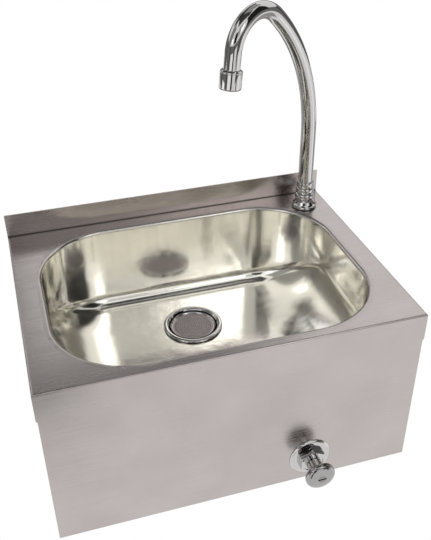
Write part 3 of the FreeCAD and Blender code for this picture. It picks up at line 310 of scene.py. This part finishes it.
def brass():
    """Machined brass with turning marks and a dull film."""
    tones = ((0.42, 0.27, 0.1), (0.62, 0.43, 0.17))
    smoothest, roughest = 0.22, 0.42
    tarnish_scale, turning_scale = 90, 900
    material, tree, shader = shader_material("brass_machined", (0.55, 0.37, 0.14), METAL, 0.3)
    tarnish = noise(tree, tarnish_scale, detail=4)
    colour = blended(tree, ranged(tree, tarnish, 0, 1), *tones)
    paint(tree, shader, colour, ranged(tree, tarnish, smoothest, roughest))
    bumps(tree, shader, (noise(tree, turning_scale, detail=1), SCRATCH))
    return material


MATERIALS = {
    "stainless_brushed": brushed_steel("steel_brushed", BRUSHED_ALONG),
    "stainless_polished": polished_steel(),
    "stainless_plain": filmed(
        "steel_plain", (0.42, 0.42, 0.41), METAL, 0.42, scale=(60, 400, 400),
        tones=((0.38, 0.38, 0.37), (0.5, 0.5, 0.49)), roughness=(0.36, 0.5), height=PITTING),
    "chrome": chrome(),
    "strainer_steel": strainer_steel(),
    "brass": brass(),
    "steel_small": small_steel(),
    "copper": filmed(
        "copper_tube", (0.62, 0.29, 0.18), METAL, 0.3, scale=45, tones=((0.4, 0.17, 0.1), (0.7, 0.34, 0.22)),
        roughness=(0.22, 0.45), height=PITTING, detail=4, full=True),
    "rubber_black": filmed(
        "rubber_black", (0.02, 0.02, 0.02), NOT_METAL, 0.7, scale=700,
        tones=((0.014, 0.014, 0.015), (0.035, 0.034, 0.034)), roughness=(0.6, 0.8), height=MOULDING),
    "plastic_white": filmed(
        "plastic_white", (0.78, 0.78, 0.75), NOT_METAL, 0.4, scale=400,
        tones=((0.72, 0.72, 0.69), (0.82, 0.82, 0.8)), roughness=(0.35, 0.5), height=SCRATCH, detail=2),
}
# Duller plate of the push cap.
SATIN_CHROME = filmed(
    "chrome_satin", (0.38, 0.37, 0.365), METAL, 0.12, scale=220,
    tones=((0.34, 0.33, 0.325), (0.43, 0.42, 0.415)), roughness=(0.09, 0.17), height=SCRATCH)


def dress_solids():
    """Give every solid the material of its slot, and the screw and the side panels their own."""
    for part in frame["record"]["subparts"]:
        node = frame["nodes"][part["node"]]
        node.data.materials.clear()
        node.data.materials.append(MATERIALS[part["material_slot"]])
    frame["nodes"]["cap_screw"].data.materials[0] = slotted_head()
    side_sheet = brushed_steel("steel_brushed_side", BRUSHED_TO_WALL)
    for side in ("side_panel_left", "side_panel_right"):
        frame["nodes"][side].data.materials[0] = side_sheet


# ---------------------------------------------------------------- meshes

SMOOTH_ANGLE = math.radians(32)
WELD_DISTANCE = 1e-7
# Fillets of turned edges, in millimetres.
SHARP, NICKED, EASED, BROKEN, SOFT, ROUND, FULL = 0, 0.1, 0.2, 0.3, 0.4, 0.5, 0.6
FILLET_STEPS = 5
SHORTEST_EDGE = 1e-9
# Share of an edge that one fillet may take.
FILLET_SHARE = 0.49


def piece(name, verts, faces, body, slot, replaced, finish=None):
    """Mesh object that rides on a body, takes a slot's material and stands for solids."""
    mesh = bpy.data.meshes.new(name)
    mesh.from_pydata([tuple(v) for v in verts], [], faces)
    cleaned = bmesh.new()
    cleaned.from_mesh(mesh)
    bmesh.ops.remove_doubles(cleaned, verts=cleaned.verts, dist=WELD_DISTANCE)
    bmesh.ops.recalc_face_normals(cleaned, faces=cleaned.faces)
    cleaned.to_mesh(mesh)
    cleaned.free()
    mesh.polygons.foreach_set("use_smooth", [True] * len(mesh.polygons))
    mesh.set_sharp_from_angle(angle=SMOOTH_ANGLE)
    mesh.materials.append(finish or MATERIALS[slot])
    made = bpy.data.objects.new(name, mesh)
    bpy.context.scene.collection.objects.link(made)
    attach(made, body)
    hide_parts(*replaced)
    return made


def circle_turns(count):
    """Equally spaced angles of a whole turn."""
    return [2 * math.pi * step / count for step in range(count)]


def half_turns(steps):
    """Equally spaced angles of half a turn, with both ends."""
    return [math.pi * step / steps for step in range(steps + 1)]


def bridged(rings, closed_profile):
    """Faces between successive rings of equal length; the first ring follows the last if closed."""
    count = len(rings[0])
    verts = [v for ring in rings for v in ring]
    faces = []
    last = len(rings) if closed_profile else len(rings) - 1
    for i in range(last):
        low, high = i * count, (i + 1) % len(rings) * count
        for j in range(count):
            k = (j + 1) % count
            faces.append((low + j, low + k, high + k, high + j))
    return verts, faces


def rounded(profile):
    """Points of a closed profile of (radius, height, fillet) corners, each fillet drawn as an arc."""
    spots = [Vector((radius, height)) for radius, height, _ in profile]
    drawn = []
    for i, (_, _, fillet) in enumerate(profile):
        corner = spots[i]
        back, ahead = spots[i - 1] - corner, spots[(i + 1) % len(spots)] - corner
        if not fillet or back.length < SHORTEST_EDGE or ahead.length < SHORTEST_EDGE:
            drawn.append(corner)
            continue
        half = back.angle(ahead) / 2
        reach = min(fillet / math.tan(half), FILLET_SHARE * back.length, FILLET_SHARE * ahead.length)
        radius = reach * math.tan(half)
        start, end = corner + back.normalized() * reach, corner + ahead.normalized() * reach
        inward_arm = (back.normalized() + ahead.normalized()).normalized()
        centre = corner + inward_arm * radius / math.sin(half)
        for step in range(FILLET_STEPS + 1):
            arm = (start - centre).lerp(end - centre, step / FILLET_STEPS)
            drawn.append(centre + arm.normalized() * radius)
    return drawn


def tier(low, high, neck, crest, steps=12):
    """Profile points of a barrel-shaped tier, from its top down."""
    half, centre = (high - low) / 2, (high + low) / 2
    return [(neck + (crest - neck) * math.sin(t), centre + half * math.cos(t), SHARP)
            for t in half_turns(steps)]


def bead(outside, inside, foot, top, steps=14, fullness=0.8):
    """Profile points over a bead, from its outer foot to its inner side."""
    half, centre, rise = (outside - inside) / 2, (outside + inside) / 2, top - foot
    return [(centre + half * math.cos(t), foot + rise * math.sin(t) ** fullness, SHARP)
            for t in half_turns(steps)]


def around(radius, turn, height):
    """Point at a radius, a turn and a height given in millimetres."""
    return Vector((radius * MM * math.cos(turn), radius * MM * math.sin(turn), height * MM))


def lathe(profile, place, segments=128):
    """Closed profile of (radius, height, fillet) in millimetres, turned round z of a placement."""
    rings = []
    for spot in rounded(profile):
        rings.append([place @ around(spot.x, turn, spot.y) for turn in circle_turns(segments)])
    return bridged(rings, True)


def hexagonal(flats, bore, low, high, bevel, place, per_side=24):
    """Bevelled hexagon nut: its radius is the lesser of the hexagon and the bevel cone."""
    levels = (0, 0.03, 0.07, 0.11, 0.15, 0.2, 0.8, 0.85, 0.89, 0.93, 0.97, 1)
    turns = circle_turns(6 * per_side)
    bevel_slope = math.sqrt(3)
    corner = flats / math.sqrt(3)

    def outside(turn, height):
        from_flat = (turn + math.pi / 6) % (math.pi / 3) - math.pi / 6
        cone = corner - bevel + min(height - low, high - height) * bevel_slope
        return min(flats / 2 / math.cos(from_flat), cone)

    rings = []
    for height in (low + (high - low) * level for level in levels):
        rings.append([place @ around(outside(turn, height), turn, height) for turn in turns])
    for height in (high, low):
        rings.append([place @ around(bore, turn, height) for turn in turns])
    return bridged(rings, True)


# ---------------------------------------------------------------- placements

TAP_AXIS = middle("tap_base")
TAP = Matrix.Translation((TAP_AXIS.x, TAP_AXIS.y, 0))
DRAIN_AXIS = middle("strainer_plate")
BOWL_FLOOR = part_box("waste_upper_seal")[0].z
DRAIN = Matrix.Translation((DRAIN_AXIS.x, DRAIN_AXIS.y, BOWL_FLOOR))
VALVE_AXIS = middle("valve_rosette")
FRONT_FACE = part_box("valve_rosette")[1].y
INTO_CASING = Matrix.Rotation(math.radians(-90), 4, "X")
VALVE = Matrix.Translation((VALVE_AXIS.x, FRONT_FACE, VALVE_AXIS.z)) @ INTO_CASING
SPOUT_HEADING = math.radians(210)
SPOUT_END_LEAN = math.radians(172)
NOZZLE = (Matrix.Translation(middle("aerator_housing")) @ Matrix.Rotation(SPOUT_HEADING, 4, "Z")
          @ Matrix.Rotation(SPOUT_END_LEAN, 4, "Y"))


def upright(node, level):
    """Radius, lower end and upper end of a turned solid in millimetres, above a level."""
    low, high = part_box(node)
    return (high.x - low.x) / 2 / MM, (low.z - level) / MM, (high.z - level) / MM


def inward(node):
    """Radius, outer end and inner end of a turned solid of the push valve, from the front face."""
    low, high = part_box(node)
    return (high.x - low.x) / 2 / MM, (low.y - FRONT_FACE) / MM, (high.y - FRONT_FACE) / MM


# ---------------------------------------------------------------- pieces

def make_waste_flange():
    """Chromed flange, dish and threaded tail of the waste."""
    edge, foot, top = upright("waste_flange", BOWL_FLOOR)
    seat, ledge, _ = upright("strainer_plate", BOWL_FLOOR)
    under = upright("waste_upper_seal", BOWL_FLOOR)[2]
    thread, bore, dish, dish_foot = 23.9, 21.5, 27.5, -5
    groove_top, groove_foot, groove_floor = -16.5, -18, 23.1
    edge_rise, bead_rise, bead_inside = 0.5, 0.7, 30.4
    step, slope_end = (29.3, top - 2.9, SOFT), (26.7, top - 3.5, ROUND)
    seat_fall, seat_land, throat = 4.3, 3, 1
    profile = [(dish, under, SHARP), (edge, under, EASED), (edge, under + edge_rise, EASED)]
    profile += bead(edge, bead_inside, under + bead_rise, top)
    profile += [
        step, slope_end, (seat, top - seat_fall, EASED), (seat, ledge, SHARP),
        (seat - seat_land, ledge, EASED), (seat - seat_land, dish_foot + throat, BROKEN),
        (bore, dish_foot, BROKEN), (bore, foot, BROKEN), (thread, foot, SOFT),
        (thread, groove_foot, NICKED), (groove_floor, groove_foot, SHARP),
        (groove_floor, groove_top, SHARP), (thread, groove_top, NICKED),
        (thread, dish_foot, SHARP), (dish, dish_foot, BROKEN)]
    verts, faces = lathe(profile, DRAIN)
    piece("waste_flange_turned", verts, faces, "basin", "chrome", ("waste_flange",))


def make_tap_body():
    """Turned tap body: flange, bell skirt, three tiers and the shank under the deck."""
    flange, foot, top = upright("tap_base", 0)
    under = upright("tap_gasket", 0)[2]
    socket, floor, port, pipe, pipe_depth, thread, neck = 9.05, 8, 4, 5.05, 8, 10.4775, 9.7
    # Each tier's lower and upper end below the top, and its waist and crest outside the neck.
    tiers = ((8.3, 0.4, 0, 1), (16.6, 8.6, 0.1, 1.6), (24.8, 16.9, 0.4, 2.3))
    # Corners of the skirt: inside the flange's edge, below the top, and the fillet.
    skirt = ((4.4, 27.2, 2), (2.6, 30.4, 1.6), (1.2, 31.7, EASED), (0.4, 32.1, FULL))
    edge_rise, edge_fillet = 1.2, 0.8
    profile = [(socket, floor, SHARP), (socket, top, SOFT), (neck, top, EASED)]
    for low, high, waist, crest in tiers:
        profile += tier(top - low, top - high, neck + waist, neck + crest)
    profile += [(flange - inset, top - fall, fillet) for inset, fall, fillet in skirt]
    profile += [
        (flange, under + edge_rise, edge_fillet), (flange, under, BROKEN), (thread, under, SHARP),
        (thread, foot, SOFT), (pipe, foot, EASED), (pipe, foot + pipe_depth, SHARP),
        (port, foot + pipe_depth, SHARP), (port, floor, SHARP)]
    verts, faces = lathe(profile, TAP)
    piece("tap_body_turned", verts, faces, "basin", "chrome", ("tap_base",))


def make_nozzle():
    """Aerator housing with soft edges and a fine line near the spout."""
    outer, tube, inner, half, shelf = 12, 9, 10.35, 10, 8.3
    # Corners of the outside: inside the largest radius, below the spout's end, and the fillet.
    outside = (
        (1.6, 0, FULL), (0.2, 1.4, FULL), (0.2, 2.4, NICKED), (0.5, 2.6, NICKED), (0.5, 3, NICKED),
        (0, 3.2, EASED), (0, 18.5, 1.2), (0.8, 20, SOFT))
    profile = [(tube, -half, EASED)]
    profile += [(outer - inset, fall - half, fillet) for inset, fall, fillet in outside]
    profile += [(inner, half, BROKEN), (inner, shelf - half, SHARP), (tube, shelf - half, SHARP)]
    verts, faces = lathe(profile, NOZZLE, 96)
    piece("nozzle_turned", verts, faces, "spout", "chrome", ("aerator_housing",))


def make_spring():
    """Wound return spring, with a mesh of its own."""
    low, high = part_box("return_spring")
    wire, coils, per_coil, round_wire = 0.7 * MM, 6, 32, 10
    along = Vector((0, 1, 0))
    radius = (high.x - low.x) / 2 - wire
    start, length = low.y + wire, high.y - low.y - 2 * wire
    rings = []
    for step in range(coils * per_coil + 1):
        turn = 2 * math.pi * step / per_coil
        out = Vector((math.cos(turn), 0, math.sin(turn)))
        reached = start + length * step / (coils * per_coil)
        centre = Vector((VALVE_AXIS.x, reached, VALVE_AXIS.z)) + radius * out
        rings.append([centre + wire * (math.cos(t) * out + math.sin(t) * along)
                      for t in circle_turns(round_wire)])
    verts, faces = bridged(rings, False)
    faces += [tuple(range(round_wire)), tuple(range(len(verts) - round_wire, len(verts)))]
    spring = piece("return_spring_wound", verts, faces, "basin", "steel_small", ("return_spring",))
    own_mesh(spring)


def make_rosette():
    """Domed rosette behind the front nut."""
    edge, crest, seat = inward("valve_rosette")
    bore = 12
    shoulder, shoulder_fillet = edge - 5.2, 2.5
    slope_end, slope_fall, slope_fillet = edge - 1.6, 1, 2
    rim = 0.7
    profile = [
        (bore, crest, SHARP), (shoulder, crest, shoulder_fillet),
        (slope_end, crest + slope_fall, slope_fillet), (edge, seat - rim, ROUND),
        (edge, seat, EASED), (bore, seat, SHARP)]
    verts, faces = lathe(profile, VALVE)
    piece("valve_rosette_turned", verts, faces, "basin", "chrome", ("valve_rosette",))


def make_front_nut():
    """Bevelled hexagon nut in front of the rosette."""
    flats, bore, bevel = 27, 12, 1.4
    _, outer, inner = inward("valve_front_nut")
    verts, faces = hexagonal(flats, bore, outer, inner, bevel, VALVE)
    piece("valve_front_nut_hex", verts, faces, "basin", "chrome", ("valve_front_nut",))


def make_push_cap():
    """Round push cap with a crowned front and a seat for its screw."""
    edge, front, back = inward("push_cap")
    bore, head, head_floor = 2.5, 4.8, front + 2.4
    rim, steps, flatness = back - 2.6, 24, 3
    profile = [(bore, head_floor, SHARP), (head, head_floor, SHARP)]
    for step in range(steps + 1):
        radius = head + (edge - head) * step / steps
        crown = math.sqrt(1 - (radius / edge) ** flatness)
        profile.append((radius, rim + (front - rim) * crown, SHARP))
    profile += [(edge, back, FULL), (bore, back, SHARP)]
    verts, faces = lathe(profile, VALVE)
    piece("push_cap_turned", verts, faces, "push_button", "chrome", ("push_cap",), SATIN_CHROME)


# ---------------------------------------------------------------- backdrop

FLOOR_LEVEL = -0.85
FLOOR_REACH = 12
FLOOR_PAINT = (0.85, 0.84, 0.83, 1)
WHITE = (1, 1, 1, 1)
DAYLIGHT = (0.95, 0.97, 1, 1)
DAYLIGHT_STRENGTH = 0.75
SHOWING_RAYS = ("Is Camera Ray", "Is Glossy Ray", "Is Transmission Ray")


def split_by_ray(tree, plain, shown, output_kind):
    """Send one shader to the light, and another to the camera, metal and glass."""
    path = add_node(tree, "LightPath")
    showing = path.outputs[SHOWING_RAYS[0]]
    for ray in SHOWING_RAYS[1:]:
        showing = calculated(tree, "MAXIMUM", showing, path.outputs[ray])
    mix = add_node(tree, "MixShader")
    output = add_node(tree, output_kind)
    tree.links.new(showing, mix.inputs[0])
    tree.links.new(plain.outputs[0], mix.inputs[1])
    tree.links.new(shown.outputs[0], mix.inputs[2])
    tree.links.new(mix.outputs[0], output.inputs[0])


def emptied(owner):
    """Node tree of a new material or world, without its first nodes."""
    owner.use_nodes = True
    owner.node_tree.nodes.clear()
    return owner.node_tree


def flat_object(name, verts, faces, material):
    """Mesh object of the studio, with its corners in place."""
    mesh = bpy.data.meshes.new(name)
    mesh.from_pydata([tuple(v) for v in verts], [], faces)
    mesh.materials.append(material)
    made = bpy.data.objects.new(name, mesh)
    bpy.context.scene.collection.objects.link(made)
    return made


def staged_rectangle(name, half_x, half_y, place, material):
    """Rectangle of the studio, centred on a placement."""
    corners = ((-half_x, -half_y), (half_x, -half_y), (half_x, half_y), (-half_x, half_y))
    verts = [place @ Vector((x, y, 0)) for x, y in corners]
    sheet = flat_object(name, verts, [(0, 1, 2, 3)], material)
    return sheet


def make_world():
    """Plain light for the object, and a white backdrop for the camera and for reflections."""
    world = bpy.data.worlds.new("studio")
    bpy.context.scene.world = world
    tree = emptied(world)
    plain = add_node(tree, "Background")
    plain.inputs["Color"].default_value = DAYLIGHT
    plain.inputs["Strength"].default_value = DAYLIGHT_STRENGTH
    backdrop = add_node(tree, "Background")
    backdrop.inputs["Color"].default_value = WHITE
    backdrop.inputs["Strength"].default_value = 1
    split_by_ray(tree, plain, backdrop, "OutputWorld")


def make_floor():
    """Pale floor that shows white in the picture and in the metal."""
    material = bpy.data.materials.new("floor_pale")
    tree = emptied(material)
    paint_coat = add_node(tree, "BsdfDiffuse")
    paint_coat.inputs["Color"].default_value = FLOOR_PAINT
    glow = add_node(tree, "Emission")
    glow.inputs["Color"].default_value = WHITE
    glow.inputs["Strength"].default_value = 1
    split_by_ray(tree, paint_coat, glow, "OutputMaterial")
    place = Matrix.Translation((0, 0, FLOOR_LEVEL))
    staged_rectangle("floor", FLOOR_REACH, FLOOR_REACH, place, material)


# ---------------------------------------------------------------- studio

AIM = Vector((0, -0.15, 0))

# Flags and cards, seen only in the metal: azimuth from +y towards +x, elevation, width and height
# in degrees, distance in metres, grey level.
FLAGS = {
    "flag_rear": (-14, 31.5, 12, 14, 2.4, 0.01),
    "flag_rear_top": (-14, 55, 54, 26, 2.4, 0.04),
    "flag_right": (113, 36, 40, 46, 2.4, 0.02),
    "flag_front": (176, 42, 20, 26, 2.4, 0.55),
    "flag_left_front": (-160, 34, 26, 24, 2.4, 0.02),
    "flag_left": (-88, 38, 36, 40, 2.4, 0.3),
    "flag_ceiling": (0, 90, 46, 46, 2.4, 0.06),
    "flag_rear_high": (36, 64, 40, 22, 2.35, 0.04),
    "flag_photographer": (-167, -22, 9, 30, 1.1, 0.02),
    "flag_low_behind": (20, -27, 56, 30, 1.1, 0.3),
    "flag_low_right": (78, -27, 34, 28, 1.15, 0.42),
    "flag_low_left": (-40, -27, 36, 28, 1.15, 0.35),
    "strip_far_left": (-62, 2, 7, 34, 2.4, 0.03),
    "strip_left": (-118, 2, 8, 34, 2.4, 0.04),
    "strip_right": (70, 2, 9, 34, 2.4, 0.03),
    "strip_far_right": (142, -2, 8, 30, 2.3, 0.05),
    "strip_photographer": (-167, 2, 9, 26, 2.3, 0.02),
    "card_front_left": (-145, -1, 30, 14, 2.4, 1.2),
    "card_front_right": (171, 0, 26, 16, 2.4, 1),
    "card_left": (-88, -14, 26, 34, 1.3, 1.5),
    "card_right": (112, -14, 14, 34, 1.3, 1.3),
}
# Walls round the horizon, seen only in the metal: radius in metres, span in degrees, grey level.
WALL_RADIUS = 3
WALL_SPAN = (-8, 18)
WALL_LEVEL = 0.2
WALL_SIDES = 48
# Soft square lamps: azimuth and elevation in degrees, distance and side in metres, watts.
LAMPS = {
    "lamp_key": (157, 37, 2.2, 0.5, 1.2),
    "lamp_fill": (40, 66, 2.2, 1.4, 2),
    "lamp_side": (-127, 30, 2.2, 0.4, 0.8),
}


def toward(azimuth, elevation, distance):
    """Placement at a direction from the basin, its z axis pointing away from the basin."""
    turn, rise = math.radians(azimuth), math.radians(elevation)
    arm = Vector((math.sin(turn) * math.cos(rise), math.cos(turn) * math.cos(rise), math.sin(rise)))
    facing = arm.to_track_quat("Z", "Y").to_matrix().to_4x4()
    return Matrix.Translation(AIM + arm * distance) @ facing


def grey_cloth(name, level):
    """Evenly lit grey cloth."""
    material = bpy.data.materials.new(name)
    tree = emptied(material)
    cloth = add_node(tree, "Emission")
    cloth.inputs["Color"].default_value = (level, level, level, 1)
    output = add_node(tree, "OutputMaterial")
    tree.links.new(cloth.outputs[0], output.inputs[0])
    return material


def only_in_metal(sheet):
    """Leave a sheet visible to glossy rays alone."""
    sheet.visible_camera = False
    sheet.visible_diffuse = False
    sheet.visible_shadow = False
    sheet.visible_transmission = False


def make_flags():
    """Dark flags and light cards that draw the streaks in the metal."""
    for name, (azimuth, elevation, width, height, distance, level) in FLAGS.items():
        half_x = distance * math.tan(math.radians(width / 2))
        half_y = distance * math.tan(math.radians(height / 2))
        place = toward(azimuth, elevation, distance)
        only_in_metal(staged_rectangle(name, half_x, half_y, place, grey_cloth(name, level)))


def make_walls():
    """Grey band round the horizon of the metal's reflections."""
    rings = []
    for elevation in WALL_SPAN:
        height = WALL_RADIUS * math.tan(math.radians(elevation))
        rings.append([AIM + Vector((WALL_RADIUS * math.sin(t), WALL_RADIUS * math.cos(t), height))
                      for t in circle_turns(WALL_SIDES)])
    verts, faces = bridged(rings, False)
    walls = flat_object("studio_walls", verts, faces, grey_cloth("studio_walls", WALL_LEVEL))
    only_in_metal(walls)


def make_lamps():
    """Soft lamps that face the basin."""
    for name, (azimuth, elevation, distance, side, power) in LAMPS.items():
        light = bpy.data.lights.new(name, "AREA")
        light.energy = power
        light.size = side
        lamp = bpy.data.objects.new(name, light)
        lamp.matrix_world = toward(azimuth, elevation, distance)
        bpy.context.scene.collection.objects.link(lamp)


def make_camera():
    """Camera at the photograph's place, with its lens."""
    heading, tilt, roll = CAMERA_HEADING, CAMERA_TILT, CAMERA_ROLL
    ahead = Vector((math.sin(heading) * math.cos(tilt), math.cos(heading) * math.cos(tilt), math.sin(tilt)))
    level = Vector((math.cos(heading), -math.sin(heading), 0))
    above = level.cross(ahead)
    right = math.cos(roll) * level + math.sin(roll) * above
    up = math.cos(roll) * above - math.sin(roll) * level
    lens = bpy.data.cameras.new("camera")
    lens.lens = CAMERA_LENS
    lens.sensor_width = SENSOR
    lens.clip_start = NEAREST_SEEN
    camera = bpy.data.objects.new("camera", lens)
    camera.matrix_world = Matrix.Translation(CAMERA_PLACE) @ Matrix((right, up, -ahead)).transposed().to_4x4()
    bpy.context.scene.collection.objects.link(camera)
    bpy.context.scene.camera = camera


# ---------------------------------------------------------------- build

dress_solids()
make_waste_flange()
make_tap_body()
make_nozzle()
make_spring()
make_rosette()
make_front_nut()
make_push_cap()
make_world()
make_floor()
make_flags()
make_walls()
make_lamps()
make_camera()
bpy.context.scene.view_settings.view_transform = "Standard"
